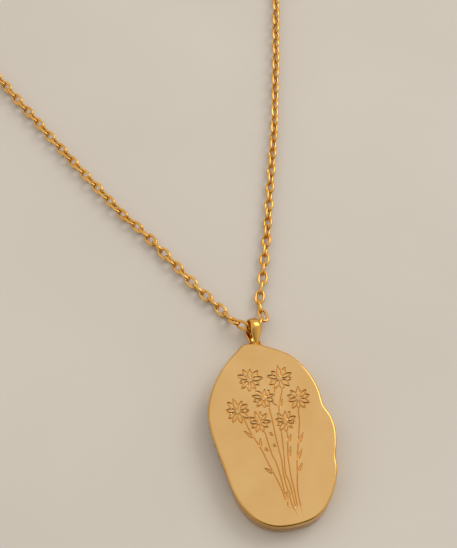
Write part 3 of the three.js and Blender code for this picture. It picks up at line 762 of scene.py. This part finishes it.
def engraved_strokes():
    """Every engraved line as (points, half width), with what lies behind a petal left out."""
    rng = random.Random(5)
    strokes, covers = [], []

    def draw(points, half, closed=False):
        loop = list(points) + ([points[0]] if closed else [])
        run = []
        for p in resample(loop, 0.11) + [None]:
            hidden = p is None or any(inside(p, c) for c in covers)
            if not hidden:
                run.append(p)
            elif run:
                if len(run) > 2:
                    strokes.append((run, half))
                run = []

    for x, y, size, turn in DAISIES:
        petals = []
        for k in range(PETALS):
            angle = math.radians(turn + 360 / PETALS * k + rng.uniform(-6, 6))
            reach = size * rng.uniform(0.86, 1.08)
            way = np.array([math.cos(angle), math.sin(angle)])
            petals.append(pointed_oval(
                np.array([x, y]) + way * 0.18 * size, np.array([x, y]) + way * reach,
                size * rng.uniform(0.14, 0.19),
            ))
        for petal in petals[::2]:
            draw(petal, GROOVE_HALF, closed=True)
        front = len(covers)
        covers.extend(petals[::2])
        for petal in petals[1::2]:
            draw(petal, GROOVE_HALF, closed=True)
        covers.extend(petals[1::2])
        for k in range(5):
            angle = math.radians(turn + 72 * k)
            spot = np.array([x, y]) + size * 0.13 * np.array([math.cos(angle), math.sin(angle)])
            dot = [tuple(spot + 0.05 * np.array([math.cos(a), math.sin(a)])) for a in (0, 2.1, 4.2, 6.28)]
            strokes.append((dot, 0.06))
        heart = [
            (x + 0.27 * size * math.cos(a), y + 0.27 * size * math.sin(a))
            for a in np.linspace(0, 2 * math.pi, 14)
        ]
        covers.append(heart[:-1])
    leaves = [pointed_oval(root, tip, 0.13) for root, tip in LEAVES]
    for leaf in leaves:
        draw(leaf, GROOVE_HALF * 0.8, closed=True)
    for stem in STEMS:
        line = centripetal([(x, y, 0.0) for x, y in stem], per_span=6)
        draw([tuple(p[:2]) for p in line], GROOVE_HALF)
    return strokes


def stroke_edges(strokes):
    """Middle and side lines of every groove, and the middle lines' segments with half widths."""
    points, edges, segments = [], [], []

    def add_line(line):
        start = len(points)
        points.extend(line)
        edges.extend((start + k, start + k + 1) for k in range(len(line) - 1))

    for run, half in strokes:
        line = np.array(run)
        way = np.gradient(line, axis=0)
        way /= np.maximum(np.linalg.norm(way, axis=1), 1e-9)[:, None]
        across = np.column_stack([-way[:, 1], way[:, 0]])
        last = len(line) - 1
        taper = np.array([min(1.0, 0.35 + 0.3 * min(k, last - k)) for k in range(len(line))])
        widths = half * taper
        add_line([tuple(p) for p in line])
        left = line + across * widths[:, None]
        right = line - across * widths[:, None]
        outlined = np.vstack([left, right[::-1], left[:1]])
        add_line([tuple(p) for p in outlined])
        segments += [
            (*line[k], *line[k + 1], widths[k], widths[k + 1]) for k in range(len(line) - 1)
        ]
    return points, edges, np.array(segments)


def groove_depth(points, segments):
    """How deep the engraving is at each point."""
    a, b = segments[:, 0:2], segments[:, 2:4]
    way = b - a
    long = np.maximum((way**2).sum(1), 1e-12)
    depth = np.zeros(len(points))
    for start in range(0, len(points), 400):
        p = points[start:start + 400]
        t = (((p[:, None, :] - a) * way).sum(2) / long).clip(0, 1)
        gap = np.linalg.norm(p[:, None, :] - (a + t[:, :, None] * way), axis=2)
        width = segments[:, 4] + t * (segments[:, 5] - segments[:, 4])
        depth[start:start + 400] = (width - gap).max(1).clip(0)
    return depth * GROOVE_SLOPE


def engraved_face(rim):
    """Triangles of the flat face inside its rim, with V-shaped grooves cut into it."""
    points, edges, segments = stroke_edges(engraved_strokes())
    count = len(rim)
    flat = [Vector(p) for p in rim] + [Vector(p) for p in points]
    edges = [(count + a, count + b) for a, b in edges]
    result = delaunay_2d_cdt(flat, edges, [list(range(count))], 1, 0.004)
    spots = np.array([(v.x, v.y) for v in result[0]])
    return spots, groove_depth(spots, segments), result[2]


# ---------------------------------------------------------------- locket halves


def skin(loops):
    """Quads between loops of the same number of points, each loop one after another."""
    faces = []
    ring = OUTLINE_POINTS
    for i in range(len(loops) - 1):
        a, b = i * ring, (i + 1) * ring
        faces += [(a + k, a + (k + 1) % ring, b + (k + 1) % ring, b + k) for k in range(ring)]
    return faces


def round_profile(z_edge, z_side, steps=6):
    """(inset, height) from a flat face round to the wall."""
    lift = z_side - z_edge
    profile = []
    for i in range(steps + 1):
        angle = i / steps * math.pi / 2
        profile.append((
            EDGE_ROUND * (1 - math.sin(angle)), z_edge + lift * (1 - math.cos(angle)),
        ))
    return profile


POCKET_HALF_WIDTH = LOCKET_WIDTH / 2 - SIDE_RIM
POCKET_HALF_LENGTH = LOCKET_LENGTH / 2 - END_RIM
SEAM_EASE = 0.05


def half_shell(name, z_face, z_seam, z_pocket, face):
    """One half of the locket, from its face round the wall to the seam and into the pocket."""
    inwards = 1 if z_seam < z_face else -1
    z_side = z_face - inwards * EDGE_ROUND
    loops = [outline_loop(inset, z) for inset, z in round_profile(z_face, z_side)]
    loops.append(outline_loop(0, z_seam + inwards * SEAM_EASE))
    loops.append(outline_loop(SEAM_EASE, z_seam))
    loops.append(oval_loop(POCKET_HALF_WIDTH + SEAM_EASE, POCKET_HALF_LENGTH + SEAM_EASE, z_seam))
    loops.append(oval_loop(POCKET_HALF_WIDTH, POCKET_HALF_LENGTH, z_seam + inwards * SEAM_EASE))
    loops.append(oval_loop(POCKET_HALF_WIDTH, POCKET_HALF_LENGTH, z_pocket))
    vertices = list(np.concatenate(loops))
    faces = skin(loops)
    floor = (len(loops) - 1) * OUTLINE_POINTS
    faces.append(tuple(range(floor, floor + OUTLINE_POINTS)))
    wall_faces = len(faces)
    if face:
        spots, depth, triangles = face(loops[0][:, :2])
        start = len(vertices)
        vertices += [np.array([x, y, z_face - d]) for (x, y), d in zip(spots, depth)]
        faces += [tuple(start + k for k in t) for t in triangles]
    else:
        faces.append(tuple(range(OUTLINE_POINTS)))
    # The walls and seam take the darker painted-shade copy of the gold, and the face takes the face gold.
    obj = build(name, vertices, faces, [SHADED_WALL_GOLD, FACE_GOLD], smooth=True, sharp_deg=28)
    for polygon in obj.data.polygons:
        if polygon.index >= wall_faces:
            polygon.material_index = 1
            polygon.use_smooth = not face
    weld(obj)
    return obj


def weld(obj):
    mesh = bmesh.new()
    mesh.from_mesh(obj.data)
    bmesh.ops.remove_doubles(mesh, verts=mesh.verts, dist=0.002 * MM)
    bmesh.ops.recalc_face_normals(mesh, faces=mesh.faces)
    mesh.to_mesh(obj.data)
    mesh.free()


def cutter_box(low, high):
    corners = [(x, y, z) for x in (low[0], high[0]) for y in (low[1], high[1]) for z in (low[2], high[2])]
    faces = [(0, 1, 3, 2), (4, 6, 7, 5), (0, 4, 5, 1), (2, 3, 7, 6), (0, 2, 6, 4), (1, 5, 7, 3)]
    return build("cutter", corners, faces, [SHADED_WALL_GOLD], smooth=False)


def cut(obj, cutters):
    """Takes the cutters out of a solid and removes them."""
    for cutter in cutters:
        modifier = obj.modifiers.new("cut", "BOOLEAN")
        modifier.operation = "DIFFERENCE"
        modifier.solver = "EXACT"
        modifier.object = cutter
    bpy.context.view_layer.update()
    shaped = bpy.data.meshes.new_from_object(
        obj.evaluated_get(bpy.context.evaluated_depsgraph_get())
    )
    obj.modifiers.clear()
    obj.data = shaped
    for cutter in cutters:
        bpy.data.objects.remove(cutter)


KNUCKLE_RADIUS = 0.5
HINGE_INSET = 0.28
RELIEF_GAP = 0.06
CATCH_CLEARANCE = 0.12
SLOT_GAP = 0.02
THUMB_RADIUS = 1.6
THUMB_DEPTH = 0.45
FAR = 2 * LOCKET_LENGTH

hinge_x = pivot("cover_hinge")[0]
relief_x = hinge_x + KNUCKLE_RADIUS + HINGE_INSET + RELIEF_GAP
hinge_low = node_box("hinge_knuckle_bottom")[0][1]
hinge_high = node_box("hinge_knuckle_top")[1][1]
tongue_low, tongue_high = node_box("catch_tongue")


def edge_at(y):
    right_side = outline[outline[:, 0] > 0]
    return right_side[np.argmin(np.abs(right_side[:, 1] - y))][0]


def front_cover():
    z_seam = SEAM_HEIGHT + SEAM_GAP / 2
    obj = half_shell(
        "engraved_cover", LOCKET_THICKNESS, z_seam, LOCKET_THICKNESS - SKIN, engraved_face,
    )
    knuckle_room = cutter_box(
        (-FAR, hinge_low - RELIEF_GAP, -FAR),
        (relief_x, hinge_high + RELIEF_GAP, SEAM_HEIGHT + KNUCKLE_RADIUS + RELIEF_GAP),
    )
    catch_room = cutter_box(
        tongue_low - CATCH_CLEARANCE - np.array([0, 0, FAR]), tongue_high + CATCH_CLEARANCE,
    )
    cut(obj, [knuckle_room, catch_room])
    return obj


def back_case():
    z_seam = SEAM_HEIGHT - SEAM_GAP / 2
    obj = half_shell("polished_back", 0.0, z_seam, SKIN, None)
    past = outline[outline[:, 0] < hinge_x + RELIEF_GAP][:, 1]
    low = min(hinge_low, past.min()) - KNUCKLE_RADIUS
    high = max(hinge_high, past.max()) + KNUCKLE_RADIUS
    relief = cutter_box((-FAR, low, -FAR), (relief_x, high, FAR))
    slot = cutter_box(
        tongue_low - SLOT_GAP, np.array([tongue_high[0] - 0.12, tongue_high[1], FAR]) + SLOT_GAP,
    )
    catch_y = (tongue_low[1] + tongue_high[1]) / 2
    bpy.ops.mesh.primitive_uv_sphere_add(
        segments=48, ring_count=24, radius=THUMB_RADIUS * MM,
        location=((edge_at(catch_y) + THUMB_RADIUS - THUMB_DEPTH) * MM, catch_y * MM, z_seam * MM),
        scale=(1, 1, 0.5),
    )
    scoop = bpy.context.object
    scoop.data.materials.append(SHADED_WALL_GOLD)
    cut(obj, [relief, slot, scoop])
    return obj


place_piece(front_cover(), "cover", "satin_gold", "front_cover")
place_piece(back_case(), "back", "satin_gold", "back_case")


# ---------------------------------------------------------------- bail and its loop

LOOP_WIRE_RADIUS = 0.16
LOOP_HALF_SPAN = 0.72
LOOP_CORNER = 0.3


def bail_loop():
    """A staple of round wire whose legs are soldered into the locket's top edge."""
    low = node_box("bail_loop")[0]
    end_y = bail_at[1]
    corner_x, corner_y = LOOP_HALF_SPAN - LOOP_CORNER, end_y - LOOP_CORNER
    right = [
        (corner_x + LOOP_CORNER * math.sin(a), corner_y + LOOP_CORNER * math.cos(a))
        for a in np.linspace(0, math.pi / 2, 9)
    ]
    right += [(LOOP_HALF_SPAN, y) for y in np.linspace(corner_y - 0.1, low[1] - 0.25, 5)]
    path = [(-x, y) for x, y in reversed(right)] + [(0.0, end_y)] + right
    line = np.array([(bail_at[0] + x, y, bail_at[2]) for x, y in path])
    sections = []
    for x, y, z in line:
        fillet = max(0.0, 0.25 - (y - low[1])) * 0.6
        sections.append(circle_section(LOOP_WIRE_RADIUS + min(fillet, 0.12), 16))
    vertices, faces = sweep(line, sections, False, Z_AXIS)
    return build("bail_staple", vertices, faces, [DEEP_GOLD])


BAIL_SMALL = 0.48
BAIL_LARGE = 0.95
BAIL_BAND = 0.33
BAIL_LENGTH = 1.95
BAIL_FOOT = 0.8
BAIL_HEAD = 1.5
BAIL_CROWN = 0.1
CROWN_DROP = 0.03


def bail_width(y):
    share = min(1.0, max(0.0, (y + 0.2) / 1.7))
    smooth = share * share * (3 - 2 * share)
    beyond = max(0.0, (y - BAIL_LENGTH) / (BAIL_LARGE + BAIL_BAND))
    return (BAIL_FOOT + (BAIL_HEAD - BAIL_FOOT) * smooth) * (1 - 0.12 * beyond**2)


def bail_band():
    """A crowned band bent into a closed teardrop: narrow at the locket, wide at the chain."""
    small, large = BAIL_SMALL + BAIL_BAND / 2, BAIL_LARGE + BAIL_BAND / 2
    lean = math.acos((small - large) / BAIL_LENGTH)
    side = [(BAIL_LENGTH + large * math.cos(a), large * math.sin(a)) for a in np.linspace(-lean, lean, 40)]
    low_run = (small * math.cos(lean), small * math.sin(lean))
    side += [
        (side[39][0] + (low_run[0] - side[39][0]) * t, side[39][1] + (low_run[1] - side[39][1]) * t)
        for t in np.linspace(0, 1, 12)[1:-1]
    ]
    side += [(small * math.cos(a), small * math.sin(a)) for a in np.linspace(lean, 2 * math.pi - lean, 22)]
    last = side[-1]
    side += [
        (last[0] + (side[0][0] - last[0]) * t, last[1] + (side[0][1] - last[1]) * t)
        for t in np.linspace(0, 1, 12)[1:-1]
    ]
    line = np.array([(0.0, y, z) for y, z in side])
    sections = []
    for y, z in side:
        half = bail_width(y) / 2
        section = []
        for a in np.arange(28) / 28 * 2 * math.pi:
            u = half * math.copysign(abs(math.cos(a)) ** 0.6, math.cos(a))
            v = BAIL_BAND / 2 * math.copysign(abs(math.sin(a)) ** 0.6, math.sin(a))
            crown = BAIL_CROWN * (1 - (u / half) ** 2)
            section.append((u, v + crown - CROWN_DROP if v > 0 else v))
        sections.append(np.array(section))
    first_out = np.array([0.0, side[0][0] - BAIL_LENGTH, side[0][1]])
    vertices, faces = sweep(line, sections, True, first_out)
    placed = bail_at + vertices @ np.array([across_bail, along_bail, up_bail])
    return build("bail_rolled_band", placed, faces, [BRIGHT_GOLD])


place_piece(bail_loop(), "back", "deep_gold", "bail_loop")
place_piece(bail_band(), "bail", "bright_gold", "bail")


# ---------------------------------------------------------------- small CAD pieces kept

kept_looks = {
    "hinge_knuckle_top": DEEP_GOLD, "hinge_knuckle_bottom": DEEP_GOLD,
    "hinge_knuckle_cover": DEEP_GOLD, "hinge_pin": DEEP_GOLD, "catch_tongue": DEEP_GOLD,
    "back_photo": CARD, "front_photo": CARD, "back_window": WINDOW, "front_window": WINDOW,
    "back_bezel": BRIGHT_GOLD, "front_bezel": BRIGHT_GOLD,
    "clasp_pin": DEEP_GOLD, "clasp_spring": STEEL,
}
for node_name, material in kept_looks.items():
    obj = frame["nodes"][node_name]
    obj.data.materials.clear()
    obj.data.materials.append(material)
    if material is not WINDOW and material is not CARD:
        bevel = obj.modifiers.new("eased_edges", "BEVEL")
        bevel.width = 0.03 * MM
        bevel.segments = 2
        bevel.limit_method = "ANGLE"
        bevel.angle_limit = math.radians(50)


# ---------------------------------------------------------------- floor and light


def floor():
    mesh = bpy.data.meshes.new("floor")
    half = 0.9
    mesh.from_pydata(
        [(-half, -half, 0), (half, -half, 0), (half, half, 0), (-half, half, 0)], [], [(0, 1, 2, 3)],
    )
    mesh.materials.append(paper_material())
    obj = bpy.data.objects.new("floor", mesh)
    obj.location.z = -0.00002
    bpy.context.scene.collection.objects.link(obj)


def area_light(name, place, aim, size, power, color):
    data = bpy.data.lights.new(name, "AREA")
    data.shape = "RECTANGLE"
    data.size, data.size_y = size
    data.energy = power
    data.color = color
    obj = bpy.data.objects.new(name, data)
    obj.location = place
    obj.rotation_euler = (Vector(aim) - Vector(place)).to_track_quat("-Z", "Y").to_euler()
    bpy.context.scene.collection.objects.link(obj)


floor()
area_light("key", (0.45, 0.22, 0.42), (0, 0.03, 0), (0.34, 0.34), 1.1, (1.0, 0.98, 0.96))


def studio_world():
    """A pale even surround that is darker low down, past the locket's foot."""
    world = bpy.data.worlds.new("studio")
    bpy.context.scene.world = world
    world.use_nodes = True
    tree = world.node_tree
    place = tree.nodes.new("ShaderNodeTexCoord")
    towards = tree.nodes.new("ShaderNodeVectorMath")
    towards.operation = "DOT_PRODUCT"
    towards.inputs[1].default_value = (-0.1, -0.93, 0.35)
    shade = tree.nodes.new("ShaderNodeValToRGB")
    stops = shade.color_ramp.elements
    stops[0].position, stops[0].color = 0.45, (0.83, 0.80, 0.755, 1.0)
    stops[1].position, stops[1].color = 0.9, (0.07, 0.06, 0.05, 1.0)
    tree.links.new(place.outputs["Generated"], towards.inputs[0])
    tree.links.new(towards.outputs["Value"], shade.inputs["Fac"])
    tree.links.new(shade.outputs["Color"], tree.nodes["Background"].inputs["Color"])


studio_world()
bpy.context.scene.view_settings.view_transform = "Standard"
